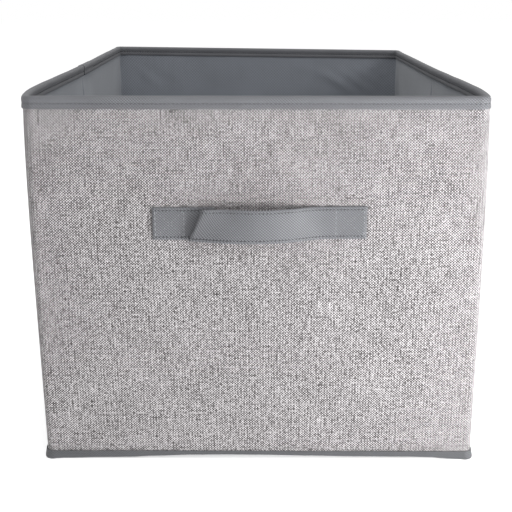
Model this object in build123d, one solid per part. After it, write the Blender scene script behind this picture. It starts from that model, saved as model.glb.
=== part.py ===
from build123d import *

import math
import os

# Folding fabric storage bin, in millimetres. The origin is on the floor, under the middle of the
# base. +X is to the right, the front panel with its pull handle faces -Y, and +Z is up.

# ---- overall sizes, over the outer fabric -------------------------------------------------------
bin_width = 320.0
bin_depth = 400.0
bin_height = 278.0
corner_radius = 6.0

# ---- the layers of a wall, from the outside in --------------------------------------------------
outer_thickness = 0.8
board_thickness = 2.4
lining_thickness = 0.8
binding_thickness = 0.9
binding_drop = 9.0

# ---- the base -----------------------------------------------------------------------------------
base_cloth_thickness = 0.8
base_cloth_upstand = 5.8
base_board_thickness = 3.0
base_cover_thickness = 0.8
base_board_clearance = 2.0
wall_foot_clearance = 0.5

# ---- the sewn folds between the wall boards -----------------------------------------------------
seam_radius = 1.5
seam_clearance = 0.1
seam_tongue_thickness = 1.2
fold_gap = 3.2
binding_fold_gap = 5.0
corner_gap = 0.6
binding_corner_gap = 2.4

# ---- the pull handle ----------------------------------------------------------------------------
strap_width = 24.0
strap_length = 153.0
strap_thickness = 1.6
strap_patch_length = 23.0
strap_bow = 16.0
strap_centre_x = 2.0
strap_centre_height = 187.5
thread_width = 0.5
thread_thickness = 0.3
stitch_margin = 2.5

# ---- places worked out from the sizes above -----------------------------------------------------
half_width = bin_width / 2
half_depth = bin_depth / 2
wall_thickness = outer_thickness + board_thickness + lining_thickness
wall_top = bin_height - binding_thickness
flat_half_width = half_width - corner_radius
corner_line = half_depth - corner_radius
seam_reach = (corner_radius - outer_thickness - seam_radius - seam_clearance) * math.sqrt(0.5)
corner_axis_x = flat_half_width + seam_reach
corner_axis_y = corner_line + seam_reach
fold_axis_x = half_width - seam_radius - seam_clearance
hinged_foot = base_cloth_upstand + wall_foot_clearance
lining_face = wall_thickness + binding_thickness
tongue_face = outer_thickness + board_thickness


def span_box(x_low, x_high, y_low, y_high, z_low, z_high):
    """A block given by its two ends along each axis."""
    block = Box(x_high - x_low, y_high - y_low, z_high - z_low, align=(Align.MIN,) * 3)
    return Pos(x_low, y_low, z_low) * block


def rounded_ring(outside, inside, z_low, z_high):
    """The band between two insets of the bin's rounded outline, as a hollow upright tube."""
    tube = None
    for inset in (outside, inside):
        outline = RectangleRounded(
            bin_width - 2 * inset, bin_depth - 2 * inset, corner_radius - inset
        )
        column = Pos(0, 0, z_low) * extrude(outline, z_high - z_low)
        tube = column if tube is None else tube - column
    return tube


def end_band(side, outside, inside, z_low, z_high):
    """The part of a ring that covers one end wall (side -1 front, 1 rear) and wraps its corners."""
    reach = bin_width
    y_inner = side * corner_line
    y_outer = side * bin_depth
    keep = span_box(-reach, reach, min(y_inner, y_outer), max(y_inner, y_outer), z_low, z_high)
    return rounded_ring(outside, inside, z_low, z_high) & keep


def end_slab(side, outside, inside, z_low, z_high):
    """A flat layer of one end wall, between two insets from its outer face."""
    y_outer = side * (half_depth - outside)
    y_inner = side * (half_depth - inside)
    y_low = min(y_outer, y_inner)
    y_high = max(y_outer, y_inner)
    return span_box(-flat_half_width, flat_half_width, y_low, y_high, z_low, z_high)


def side_slab(side, half, outside, inside, gaps, z_low, z_high):
    """A flat layer of one side panel (side -1 left, 1 right; half -1 front, 1 rear).

    The gaps are those it leaves to the fold's axis and to the cloth that wraps the corner.
    """
    x_outer = side * (half_width - outside)
    x_inner = side * (half_width - inside)
    y_fold = half * gaps[0]
    y_corner = half * (corner_line - gaps[1])
    return span_box(
        min(x_outer, x_inner),
        max(x_outer, x_inner),
        min(y_fold, y_corner),
        max(y_fold, y_corner),
        z_low,
        z_high,
    )


def end_wall(side, foot):
    """Board, outer fabric, lining and rim binding of the front or the rear wall."""
    rim_low = bin_height - binding_drop
    inner_edge = wall_thickness + binding_thickness
    outer_leg = end_band(side, -binding_thickness, 0, rim_low, bin_height)
    corner_cap = end_band(side, -binding_thickness, outer_thickness, wall_top, bin_height)
    flat_cap = end_slab(side, -binding_thickness, inner_edge, wall_top, bin_height)
    inner_leg = end_slab(side, wall_thickness, inner_edge, rim_low, bin_height)
    return {
        "outer": end_band(side, 0, outer_thickness, foot, wall_top),
        "board": end_slab(side, outer_thickness, tongue_face, foot, wall_top),
        "lining": end_slab(side, tongue_face, wall_thickness, foot, wall_top),
        "binding": outer_leg + corner_cap + flat_cap + inner_leg,
    }


def side_panel(side, half):
    """Board, outer fabric, lining and rim binding of one half of a side wall."""
    rim_low = bin_height - binding_drop
    inner_edge = wall_thickness + binding_thickness
    layer_gaps = (fold_gap, corner_gap)
    tape_gaps = (binding_fold_gap, binding_corner_gap)

    def layer(outside, inside):
        return side_slab(side, half, outside, inside, layer_gaps, hinged_foot, wall_top)

    def tape(outside, inside, z_low):
        return side_slab(side, half, outside, inside, tape_gaps, z_low, bin_height)

    outer_leg = tape(-binding_thickness, 0, rim_low)
    cap = tape(-binding_thickness, inner_edge, wall_top)
    inner_leg = tape(wall_thickness, inner_edge, rim_low)
    return {
        "outer": layer(0, outer_thickness),
        "board": layer(outer_thickness, tongue_face),
        "lining": layer(tongue_face, wall_thickness),
        "binding": outer_leg + cap + inner_leg,
    }


def seam_roll(x, y, foot):
    """The round sewn fold between two boards, on the upright axis that they turn about."""
    return Pos(x, y, foot) * Cylinder(
        seam_radius, wall_top - foot, align=(Align.CENTER, Align.CENTER, Align.MIN)
    )


def corner_seam(side, end, foot):
    """A corner fold, with its seam allowance reaching the edge of the end wall's board."""
    x_axis = side * corner_axis_x
    x_board = side * flat_half_width
    y_inner = end * (half_depth - tongue_face)
    y_outer = end * (half_depth - tongue_face + seam_tongue_thickness)
    tongue = span_box(
        min(x_axis, x_board),
        max(x_axis, x_board),
        min(y_inner, y_outer),
        max(y_inner, y_outer),
        foot,
        wall_top,
    )
    return seam_roll(x_axis, end * corner_axis_y, foot) + tongue


def fold_seam(side):
    """The fold down the middle of a side wall, sewn to the edge of the rear panel's board."""
    x_axis = side * fold_axis_x
    half_tongue = seam_tongue_thickness / 2
    tongue = span_box(
        x_axis - half_tongue, x_axis + half_tongue, 0, fold_gap, hinged_foot, wall_top
    )
    return seam_roll(x_axis, 0, hinged_foot) + tongue


def base_fabric():
    """The shallow tray of base cloth that turns up over the foot of the walls."""
    floor_cloth = extrude(
        RectangleRounded(bin_width, bin_depth, corner_radius), base_cloth_thickness
    )
    return floor_cloth + rounded_ring(0, base_cloth_thickness, 0, base_cloth_upstand)


def base_insert():
    """The loose base board and the lining cloth sewn round it."""
    half_x = half_width - lining_face - base_board_clearance
    half_y = half_depth - lining_face - base_board_clearance
    cover_top = base_cloth_thickness + base_board_thickness + 2 * base_cover_thickness
    wrap = base_cover_thickness
    board = span_box(
        wrap - half_x,
        half_x - wrap,
        wrap - half_y,
        half_y - wrap,
        base_cloth_thickness + wrap,
        cover_top - wrap,
    )
    wrapped = span_box(-half_x, half_x, -half_y, half_y, base_cloth_thickness, cover_top)
    return {"base_board": board, "base_board_cover": wrapped - board}


def handle_strap():
    """The pull handle: a strap sewn flat at both ends that bows away from the front panel."""
    half_length = strap_length / 2
    half_bow = half_length - strap_patch_length
    skin = strap_thickness
    with BuildPart() as strap:
        with BuildSketch(Plane.XY.offset(strap_centre_height - strap_width / 2)):
            with BuildLine():
                Polyline((-half_bow, 0), (-half_length, 0), (-half_length, -skin), (-half_bow, -skin))
                ThreePointArc((-half_bow, -skin), (0, -strap_bow - skin), (half_bow, -skin))
                Polyline((half_bow, -skin), (half_length, -skin), (half_length, 0), (half_bow, 0))
                ThreePointArc((half_bow, 0), (0, -strap_bow), (-half_bow, 0))
            make_face()
        extrude(amount=strap_width)
    return Pos(strap_centre_x, -half_depth, 0) * strap.part


def handle_stitching():
    """The two crossed squares of thread that hold the strap's ends, as one group."""
    square_x = strap_patch_length - 2 * stitch_margin
    square_z = strap_width - 2 * stitch_margin
    diagonal = math.hypot(square_x, square_z) - thread_width
    slope = math.degrees(math.atan2(square_z, square_x))
    y_thread = -half_depth - strap_thickness - thread_thickness / 2
    patch_x = strap_length / 2 - strap_patch_length / 2
    squares = []
    for end in (-1, 1):
        outer = Box(square_x, thread_thickness, square_z)
        hollow = Box(
            square_x - 2 * thread_width, 2 * thread_thickness, square_z - 2 * thread_width
        )
        square = outer - hollow
        for turn in (-slope, slope):
            square = square + Rot(0, turn, 0) * Box(diagonal, thread_thickness, thread_width)
        x_patch = strap_centre_x + end * patch_x
        squares.append(Pos(x_patch, y_thread, strap_centre_height) * square)
    return Compound(squares)


def all_parts():
    """Every node of the bin, by name."""
    parts = {
        "base_fabric": base_fabric(),
        "handle_strap": handle_strap(),
        "handle_stitching": handle_stitching(),
    }
    parts.update(base_insert())
    walls = {
        "rear": end_wall(1, base_cloth_upstand),
        "front": end_wall(-1, hinged_foot),
    }
    for side_name, side in (("left", -1), ("right", 1)):
        walls[f"{side_name}_rear"] = side_panel(side, 1)
        walls[f"{side_name}_front"] = side_panel(side, -1)
        parts[f"{side_name}_rear_corner_seam"] = corner_seam(side, 1, base_cloth_upstand)
        parts[f"{side_name}_front_corner_seam"] = corner_seam(side, -1, hinged_foot)
        parts[f"{side_name}_fold_seam"] = fold_seam(side)
    for wall_name, layers in walls.items():
        for layer_name, layer in layers.items():
            parts[f"{wall_name}_{layer_name}"] = layer
    return parts


os.makedirs("parts", exist_ok=True)
for node_name, node in all_parts().items():
    export_step(node, f"parts/{node_name}.step")
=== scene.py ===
"""Looks of a folding fabric storage bin: linen-look walls, grey trim, lining, handle and base.

All sizes are in metres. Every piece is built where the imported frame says, with +X to the right,
the front panel facing -Y and +Z up.
"""

import logging
import math
from dataclasses import dataclass
from enum import Enum
from typing import Callable, List, Optional, Sequence, Tuple, Union

import bmesh
import bpy
from mathutils import Matrix, Vector, noise


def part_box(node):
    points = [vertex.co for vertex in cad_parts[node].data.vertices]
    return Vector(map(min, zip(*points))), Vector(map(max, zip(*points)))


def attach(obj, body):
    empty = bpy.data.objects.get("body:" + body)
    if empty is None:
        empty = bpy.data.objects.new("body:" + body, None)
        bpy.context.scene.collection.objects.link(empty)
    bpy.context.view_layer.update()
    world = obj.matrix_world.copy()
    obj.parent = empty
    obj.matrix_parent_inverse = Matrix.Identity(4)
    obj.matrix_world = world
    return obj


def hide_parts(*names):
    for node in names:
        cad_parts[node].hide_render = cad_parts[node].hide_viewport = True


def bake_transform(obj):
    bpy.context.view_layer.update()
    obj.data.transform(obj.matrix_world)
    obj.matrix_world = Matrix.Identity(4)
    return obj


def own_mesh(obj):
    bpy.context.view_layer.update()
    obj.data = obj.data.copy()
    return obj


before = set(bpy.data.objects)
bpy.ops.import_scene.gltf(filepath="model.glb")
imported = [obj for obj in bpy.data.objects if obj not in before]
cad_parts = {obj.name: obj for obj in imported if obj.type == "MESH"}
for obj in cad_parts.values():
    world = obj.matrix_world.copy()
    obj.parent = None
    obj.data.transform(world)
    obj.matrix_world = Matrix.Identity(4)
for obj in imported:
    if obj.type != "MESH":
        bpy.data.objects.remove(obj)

LOG = logging.getLogger("storage_bin")
MM = 0.001
UV_NAME = "cloth"

Socket = bpy.types.NodeSocket
Value = Union[float, Tuple[float, ...], Socket]


class Side(Enum):
    """The two side walls, valued by the sign of their X."""

    LEFT = -1
    RIGHT = 1

    @property
    def word(self) -> str:
        """The side's name as the frame writes it."""
        return self.name.lower()


class Facing(Enum):
    """Which way a layer of cloth shows its good side."""

    OUTWARD = 1
    INWARD = -1


# ---------------------------------------------------------------- finishes


class Graph:
    """A material's node tree, with short ways to add the nodes that the finishes use."""

    def __init__(self, name: str) -> None:
        """Starts a material with a principled shader.

        Args:
            name: The material's name.
        """
        self.material = bpy.data.materials.new(name)
        self.material.use_nodes = True
        self.tree = self.material.node_tree
        self.tree.nodes.clear()
        output = self.tree.nodes.new("ShaderNodeOutputMaterial")
        self.shader = self.tree.nodes.new("ShaderNodeBsdfPrincipled")
        self.shader.inputs["Specular IOR Level"].default_value = 0.25
        self.tree.links.new(self.shader.outputs["BSDF"], output.inputs["Surface"])

    def plug(self, socket: Socket, value: Value) -> None:
        """Links a socket to an input, or sets the input to a plain value.

        Args:
            socket: The input.
            value: A socket to link, or a plain value to set.
        """
        if isinstance(value, bpy.types.NodeSocket):
            self.tree.links.new(value, socket)
        elif isinstance(value, tuple) and socket.type == "RGBA":
            socket.default_value = (*value, 1.0)
        else:
            socket.default_value = value

    def math(self, operation: str, first: Value, second: Value = 0.0) -> Socket:
        """Adds a Math node and returns its result.

        Args:
            operation: The node's operation.
            first: Its first value.
            second: Its second value.

        Returns:
            The result.
        """
        node = self.tree.nodes.new("ShaderNodeMath")
        node.operation = operation
        self.plug(node.inputs[0], first)
        self.plug(node.inputs[1], second)
        return node.outputs[0]

    def stretched(self, vector: Socket, scale: Sequence[float], turn: float = 0.0) -> Socket:
        """Scales texture coordinates, and turns them about their third axis.

        Args:
            vector: The coordinates.
            scale: Factor along each axis.
            turn: Turn about the third axis, in radians.

        Returns:
            The changed coordinates.
        """
        node = self.tree.nodes.new("ShaderNodeMapping")
        node.inputs["Scale"].default_value = scale
        node.inputs["Rotation"].default_value = (0.0, 0.0, turn)
        self.plug(node.inputs["Vector"], vector)
        return node.outputs[0]

    def noise(self, vector: Socket, scale: float, detail: float = 2.0) -> Socket:
        """Adds a Noise texture and returns its value.

        Args:
            vector: The coordinates.
            scale: Swells per unit of the coordinates.
            detail: How many finer layers are added.

        Returns:
            The texture's value.
        """
        node = self.tree.nodes.new("ShaderNodeTexNoise")
        node.inputs["Scale"].default_value = scale
        node.inputs["Detail"].default_value = detail
        self.plug(node.inputs["Vector"], vector)
        return node.outputs[0]

    def ramp(self, factor: Socket, stops: Sequence[Tuple[float, Tuple[float, ...]]]) -> Socket:
        """Adds a colour ramp through the given stops and returns its colour.

        Args:
            factor: Place on the ramp, from 0 to 1.
            stops: Place and colour of each stop.

        Returns:
            The colour.
        """
        node = self.tree.nodes.new("ShaderNodeValToRGB")
        elements = node.color_ramp.elements
        while len(elements) < len(stops):
            elements.new(0.5)
        for element, (place, colour) in zip(elements, stops):
            element.position = place
            element.color = (*colour, 1.0)
        self.plug(node.inputs[0], factor)
        return node.outputs[0]

    def mix(self, factor: Value, first: Value, second: Value, blend: str = "MIX") -> Socket:
        """Mixes two colours and returns the result.

        Args:
            factor: Share of the second colour.
            first: The first colour.
            second: The second colour.
            blend: How the two are mixed.

        Returns:
            The mixed colour.
        """
        node = self.tree.nodes.new("ShaderNodeMix")
        node.data_type = "RGBA"
        node.blend_type = blend
        self.plug(node.inputs[0], factor)
        self.plug(node.inputs[6], first)
        self.plug(node.inputs[7], second)
        return node.outputs[2]

    def cloth_place(self) -> Socket:
        """Place on the flat cloth, in metres along and up it.

        Returns:
            The coordinates.
        """
        node = self.tree.nodes.new("ShaderNodeUVMap")
        node.uv_map = UV_NAME
        return node.outputs[0]

    def object_place(self) -> Socket:
        """Place in the bin's own frame, in metres."""
        return self.tree.nodes.new("ShaderNodeTexCoord").outputs["Object"]

    def split(self, vector: Socket, parts: int = 2) -> Tuple[Socket, ...]:
        """The first parts of a vector.

        Args:
            vector: The vector.
            parts: How many parts to give.

        Returns:
            The parts, in order.
        """
        node = self.tree.nodes.new("ShaderNodeSeparateXYZ")
        self.plug(node.inputs[0], vector)
        return tuple(node.outputs[index] for index in range(parts))

    def finish(
        self, colour: Socket, height: Socket, depth: float, rough: Value, sheen: float
    ) -> bpy.types.Material:
        """Links colour, bump and roughness to the shader and returns the material.

        Args:
            colour: Surface colour.
            height: Bump height, from 0 to 1.
            depth: Depth that a height of 1 stands for, in metres.
            rough: Roughness.
            sheen: Weight of the soft edge sheen that loose fibres give.

        Returns:
            The finished material.
        """
        bump = self.tree.nodes.new("ShaderNodeBump")
        bump.inputs["Distance"].default_value = depth
        bump.inputs["Strength"].default_value = 1.0
        self.plug(bump.inputs["Height"], height)
        self.plug(self.shader.inputs["Normal"], bump.outputs[0])
        self.plug(self.shader.inputs["Base Color"], colour)
        self.plug(self.shader.inputs["Roughness"], rough)
        self.shader.inputs["Sheen Weight"].default_value = sheen
        self.shader.inputs["Sheen Roughness"].default_value = 0.6
        return self.material


@dataclass(frozen=True)
class LinenFinish:
    """Linen-look print: a fine plain weave in warm greys, with slubs both ways and soft clouds."""

    weave_across: float = 2.05 * MM
    weave_up: float = 1.95 * MM
    yarn: float = 0.9 * MM
    slub: float = 13 * MM
    cloud_size: float = 40 * MM
    relief: float = 0.16 * MM
    darkest: Tuple[float, float, float] = (0.022, 0.020, 0.020)
    dark: Tuple[float, float, float] = (0.090, 0.083, 0.083)
    light: Tuple[float, float, float] = (0.262, 0.248, 0.253)
    lightest: Tuple[float, float, float] = (0.47, 0.455, 0.462)

    def material(self) -> bpy.types.Material:
        """Builds the material.

        Returns:
            The material.
        """
        graph = Graph("linen_print")
        place = graph.cloth_place()
        across, up = graph.split(place)
        weave = graph.math(
            "MULTIPLY",
            graph.math("SINE", graph.math("MULTIPLY", across, 2 * math.pi / self.weave_across)),
            graph.math("SINE", graph.math("MULTIPLY", up, 2 * math.pi / self.weave_up)),
        )
        layers = [
            (graph.noise(graph.stretched(place, (1 / self.yarn, 1 / self.slub, 1)), 1.0, 1.0), 0.7),
            (graph.noise(graph.stretched(place, (1 / self.slub, 1 / self.yarn, 1)), 1.0, 1.0), 0.45),
            (graph.noise(place, 0.5 / self.yarn, 0.0), 0.8),
            (graph.noise(place, 1 / self.cloud_size, 3.0), 0.22),
        ]
        worn = graph.noise(place, 0.25 / self.yarn, 1.0)
        held = graph.math("ADD", graph.math("MULTIPLY", worn, 1.4), -0.07)
        columns = graph.math("SINE", graph.math("MULTIPLY", across, 2 * math.pi / self.weave_across))
        weave = graph.math("ADD", weave, graph.math("MULTIPLY", columns, 0.25))
        tone = graph.math("ADD", graph.math("MULTIPLY", weave, held), 0.5)
        for layer, weight in layers:
            tone = graph.math("ADD", tone, graph.math("MULTIPLY", graph.math("SUBTRACT", layer, 0.5), weight))
        stops = [(0.14, self.darkest), (0.42, self.dark), (0.58, self.light), (0.86, self.lightest)]
        colour = graph.ramp(tone, stops)
        rough = graph.math("ADD", graph.math("MULTIPLY", layers[2][0], 0.12), 0.8)
        return graph.finish(colour, tone, self.relief, rough, 0.12)


@dataclass(frozen=True)
class EmbossedFinish:
    """Non-woven cloth pressed all over with fine dimples in slanting rows, each dimple darkened with painted
    shade.
    """

    name: str
    body: Tuple[float, float, float]
    dimple: Tuple[float, float, float]
    pitch_across: float = 2.08 * MM
    pitch_up: float = 1.98 * MM
    relief: float = 0.12 * MM

    def material(self) -> bpy.types.Material:
        """Builds the material.

        Returns:
            The material.
        """
        graph = Graph(self.name)
        place = graph.cloth_place()
        across, up = graph.split(place)
        turn_across = graph.math("MULTIPLY", across, 2 * math.pi / self.pitch_across)
        turn_up = graph.math("MULTIPLY", up, 2 * math.pi / self.pitch_up)
        falling = graph.math("COSINE", graph.math("ADD", turn_across, turn_up))
        rising = graph.math("COSINE", graph.math("SUBTRACT", turn_across, turn_up))
        falling_part = graph.math("MULTIPLY", falling, 0.31)
        rising_part = graph.math("MULTIPLY", rising, 0.19)
        rows_of = graph.math("ADD", falling_part, rising_part)
        pressed = graph.math("POWER", graph.math("ADD", rows_of, 0.5), 1.3)
        fibres = graph.noise(place, 1400.0, 3.0)
        cloud = graph.noise(place, 40.0, 2.0)
        # painted shade: the pressed dimples take a much darker colour, standing in for the shade that falls
        # in their hollows
        shade = graph.mix(pressed, self.body, self.dimple)
        mottle = graph.ramp(fibres, [(0.3, (0.80, 0.80, 0.81)), (0.7, (1.16, 1.16, 1.17))])
        worn = graph.ramp(cloud, [(0.3, (0.93, 0.93, 0.93)), (0.7, (1.06, 1.06, 1.06))])
        colour = graph.mix(1.0, graph.mix(1.0, shade, mottle, "MULTIPLY"), worn, "MULTIPLY")
        height = graph.math("SUBTRACT", graph.math("MULTIPLY", fibres, 0.35), pressed)
        rough = graph.math("ADD", graph.math("MULTIPLY", fibres, 0.2), 0.50)
        graph.shader.inputs["Specular IOR Level"].default_value = 0.4
        return graph.finish(colour, height, self.relief, rough, 0.10)


@dataclass(frozen=True)
class LiningFinish:
    """Smooth spun-bonded lining: grey, with matted fibres and faint streaks."""

    dark: Tuple[float, float, float] = (0.144, 0.155, 0.175)
    light: Tuple[float, float, float] = (0.220, 0.237, 0.268)
    dimple_pitch: float = 3.2 * MM
    relief: float = 0.1 * MM

    def material(self) -> bpy.types.Material:
        """Builds the material.

        Returns:
            The material.
        """
        graph = Graph("lining_cloth")
        place = graph.object_place()
        fibres = graph.noise(place, 900.0, 4.0)
        streak = graph.noise(graph.stretched(place, (220, 220, 14)), 1.0, 2.0)
        cloud = graph.noise(place, 22.0, 3.0)
        tone = graph.math("ADD", graph.math("MULTIPLY", fibres, 0.45), graph.math("MULTIPLY", streak, 0.10))
        tone = graph.math("ADD", tone, graph.math("MULTIPLY", cloud, 0.42))
        x, y, z = graph.split(place, 3)
        turn = 2 * math.pi / self.dimple_pitch
        along = graph.math("SINE", graph.math("MULTIPLY", graph.math("ADD", x, y), turn))
        dimples = graph.math("MULTIPLY", along, graph.math("SINE", graph.math("MULTIPLY", z, turn)))
        tone = graph.math("ADD", tone, graph.math("MULTIPLY", dimples, 0.30))
        colour = graph.ramp(tone, [(0.33, self.dark), (0.67, self.light)])
        rough = graph.math("ADD", graph.math("MULTIPLY", fibres, 0.2), 0.66)
        return graph.finish(colour, fibres, self.relief, rough, 0.32)


@dataclass(frozen=True)
class BoardFinish:
    """Raw pressed grey-brown board, with short fibres and specks."""

    dark: Tuple[float, float, float] = (0.30, 0.235, 0.165)
    light: Tuple[float, float, float] = (0.44, 0.36, 0.26)

    def material(self) -> bpy.types.Material:
        """Builds the material.

        Returns:
            The material.
        """
        graph = Graph("pressed_board")
        place = graph.object_place()
        fibres = graph.noise(graph.stretched(place, (1, 1, 0.3)), 1500.0, 4.0)
        specks = graph.noise(place, 420.0, 1.0)
        tone = graph.math("ADD", graph.math("MULTIPLY", fibres, 0.7), graph.math("MULTIPLY", specks, 0.3))
        colour = graph.ramp(tone, [(0.35, self.dark), (0.65, self.light)])
        return graph.finish(colour, fibres, 0.05 * MM, 0.9, 0.0)


@dataclass(frozen=True)
class ThreadFinish:
    """Spun polyester sewing thread, lighter along its twist."""

    name: str
    dark: Tuple[float, float, float]
    light: Tuple[float, float, float]

    def material(self) -> bpy.types.Material:
        """Builds the material.

        Returns:
            The material.
        """
        graph = Graph(self.name)
        place = graph.object_place()
        twist = graph.noise(graph.stretched(place, (1, 1, 1), 0.6), 3200.0, 2.0)
        colour = graph.ramp(twist, [(0.35, self.dark), (0.65, self.light)])
        return graph.finish(colour, twist, 0.05 * MM, 0.6, 0.06)


@dataclass(frozen=True)
class Finishes:
    """The bin's materials, built once."""

    linen: bpy.types.Material
    trim: bpy.types.Material
    base: bpy.types.Material
    lining: bpy.types.Material
    board: bpy.types.Material
    thread: bpy.types.Material
    pale_thread: bpy.types.Material

    @classmethod
    def build(cls) -> "Finishes":
        """Builds every material of the bin.

        Returns:
            The set of materials.
        """
        return cls(
            linen=LinenFinish().material(),
            # the second, near-black colour of each embossed finish is painted shade for its dimples
            trim=EmbossedFinish("grey_trim", (0.163, 0.167, 0.179), (0.018, 0.018, 0.021)).material(),
            base=EmbossedFinish("base_cloth", (0.090, 0.093, 0.100), (0.018, 0.019, 0.021)).material(),
            lining=LiningFinish().material(),
            board=BoardFinish().material(),
            # the stitching thread is near black: partly dark thread, partly painted shade of the stitch holes
            # it sits in
            thread=ThreadFinish("grey_thread", (0.004, 0.004, 0.006), (0.016, 0.017, 0.022)).material(),
            pale_thread=ThreadFinish("pale_thread", (0.20, 0.21, 0.225), (0.34, 0.35, 0.365)).material(),
        )


# ---------------------------------------------------------------- shape of the bin


def eased(low: float, high: float, value: float) -> float:
    """Smooth step from 0 at low to 1 at high."""
    share = min(1.0, max(0.0, (value - low) / (high - low)))
    return share * share * (3 - 2 * share)


@dataclass(frozen=True)
class Shell:
    """The bin's outline: places on its walls, by distance round it, depth into it and height.

    The distance round is 0 at the middle of the front, grows to the right and is measured on
    the outer cloth. The inset is the depth below the outer cloth.
    """

    half_width: float
    half_depth: float
    height: float
    radius: float
    foot: float
    side_bow: float = 6.3 * MM
    left_bow: float = 0.36
    bow_rise: float = 22 * MM
    rear_narrowing: float = 2.8 * MM
    belly: Tuple[float, float, float] = (2.7 * MM, 0.1 * MM, 3.2 * MM)
    lean: float = 1.9 * MM
    upright_at: float = 0.63
    rear_tilt: float = 2.0 * MM
    rim_sag: float = 0.9 * MM

    @classmethod
    def from_frame(cls) -> "Shell":
        """Reads the outline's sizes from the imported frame.

        Returns:
            The shell with the frame's outline.
        """
        low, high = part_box("front_outer")
        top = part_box("front_binding")[1].z
        return cls(high.x, -low.y, top, high.y - low.y, low.z)

    @property
    def corner_start(self) -> float:
        """Distance round to where the front corner starts to turn."""
        return self.half_width - self.radius

    @property
    def corner_end(self) -> float:
        """Distance round to where the front corner has turned."""
        return self.corner_start + self.radius * math.pi / 2

    @property
    def fold(self) -> float:
        """Distance round to the fold down the middle of a side wall."""
        return self.corner_end + self.half_depth - self.radius

    @property
    def rear_start(self) -> float:
        """Distance round to where the rear corner starts to turn."""
        return self.corner_end + 2 * (self.half_depth - self.radius)

    @property
    def rear_end(self) -> float:
        """Distance round to where the rear corner has turned."""
        return self.rear_start + self.radius * math.pi / 2

    @property
    def around(self) -> float:
        """The whole distance round the bin."""
        return 2 * (self.rear_end + self.corner_start)

    def plan(self, distance: float) -> Tuple[Vector, Vector]:
        """The outline's point and outward direction, seen from above, before any bowing.

        Args:
            distance: Distance round the bin.

        Returns:
            The point and the outward direction, both level.
        """
        half = self.around / 2
        distance = (distance + half) % self.around - half
        side = 1.0 if distance >= 0 else -1.0
        run = abs(distance)
        quarter = math.pi / 2
        if run <= self.corner_start:
            point, angle = Vector((run, -self.half_depth, 0)), -quarter
        elif run < self.corner_end:
            angle = -quarter + (run - self.corner_start) / self.radius
            middle = Vector((self.corner_start, self.radius - self.half_depth, 0))
            point = middle + self.radius * Vector((math.cos(angle), math.sin(angle), 0))
        elif run <= self.rear_start:
            y = self.radius - self.half_depth + run - self.corner_end
            point, angle = Vector((self.half_width, y, 0)), 0.0
        elif run < self.rear_end:
            angle = (run - self.rear_start) / self.radius
            middle = Vector((self.corner_start, self.half_depth - self.radius, 0))
            point = middle + self.radius * Vector((math.cos(angle), math.sin(angle), 0))
        else:
            point = Vector((self.corner_start - (run - self.rear_end), self.half_depth, 0))
            angle = quarter
        outward = Vector((math.cos(angle), math.sin(angle), 0))
        return Vector((side * point.x, point.y, 0)), Vector((side * outward.x, outward.y, 0))

    def settled(self, place: Vector) -> Vector:
        """Where a point of the true box lies once the cloth has settled.

        The side walls belly out below the rim and bow out behind the front corners, the bin
        leans a little, the rear rim is narrower and tilts down to the right, and the side rims
        sag.

        Args:
            place: A point of the true box.

        Returns:
            The settled point.
        """
        back = place.y + self.half_depth
        up = min(1.0, max(0.0, place.z / self.height))
        bow = self.side_bow * (1 - math.exp(-max(back, 0.0) / self.bow_rise))
        aside = place.x / self.half_width
        bow *= (1 - eased(0.04, 0.28, back)) * up**1.3 * (1 + self.left_bow * max(0.0, -aside))
        narrow = self.rear_narrowing * eased(0.22, 0.40, back) * up
        foot, swell, draw = self.belly
        belly = foot + swell * up - draw * up**5
        lean = self.lean * (self.upright_at - up)
        drop = self.rear_tilt * aside * eased(0.0, 0.4, back) * up
        sag = self.rim_sag * abs(aside) ** 6 * math.sin(math.pi * min(1.0, max(0.0, back / 0.3))) * up
        return Vector((place.x + aside * (bow - narrow + belly) + lean, place.y, place.z - drop - sag))

    def at(self, distance: float, inset: float, z: float) -> Vector:
        """A settled point on or in the wall.

        Args:
            distance: Distance round the outline.
            inset: Depth in from the outer face.
            z: Height before settling.

        Returns:
            The point.
        """
        point, outward = self.plan(distance)
        point = point - inset * outward
        return self.settled(Vector((point.x, point.y, z)))

    def basis(self, distance: float, inset: float, z: float) -> Matrix:
        """A turn and place on the wall: X along it, Y up it and Z out of it.

        Args:
            distance: Distance round the outline.
            inset: Depth in from the outer face.
            z: Height before settling.

        Returns:
            The turn and place.
        """
        step = 0.2 * MM
        here = self.at(distance, inset, z)
        along = (self.at(distance + step, inset, z) - self.at(distance - step, inset, z)).normalized()
        up = (self.at(distance, inset, z + step) - self.at(distance, inset, z - step)).normalized()
        out = along.cross(up).normalized()
        up = out.cross(along)
        turn = Matrix((along, up, out)).transposed().to_4x4()
        return Matrix.Translation(here) @ turn


def stations(
    low: float, high: float, step: float, spots: Sequence[Tuple[float, float, float]]
) -> List[float]:
    """Places from low to high, a step apart, and closer together round some spots.

    Args:
        low: First place.
        high: Last place.
        step: Usual spacing.
        spots: For each spot its place, its reach to each side and the spacing there.

    Returns:
        The places in order.
    """
    places = [low]
    while places[-1] < high - 1e-9:
        here = places[-1]
        gap = step
        for middle, reach, fine in spots:
            if middle - reach - step <= here < middle + reach:
                gap = min(gap, fine if here >= middle - reach - fine else max(fine, middle - reach - here))
        places.append(min(high, here + gap))
    if len(places) > 2 and places[-1] - places[-2] < 0.2 * MM:
        places.pop(-2)
    return places


Relief = Callable[[float, float], float]


def smooth_waves(size: float, depth: float, seed: float) -> Relief:
    """A gentle unevenness of the cloth.

    Args:
        size: Size of one swell.
        depth: Height of a swell.
        seed: Picks one pattern of swells.

    Returns:
        A function of the distance round and the height, giving the swell's height.
    """

    def relief(distance: float, z: float) -> float:
        """The swell at one place."""
        return depth * noise.noise(Vector((distance / size, z / size, seed)))

    return relief


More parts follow.
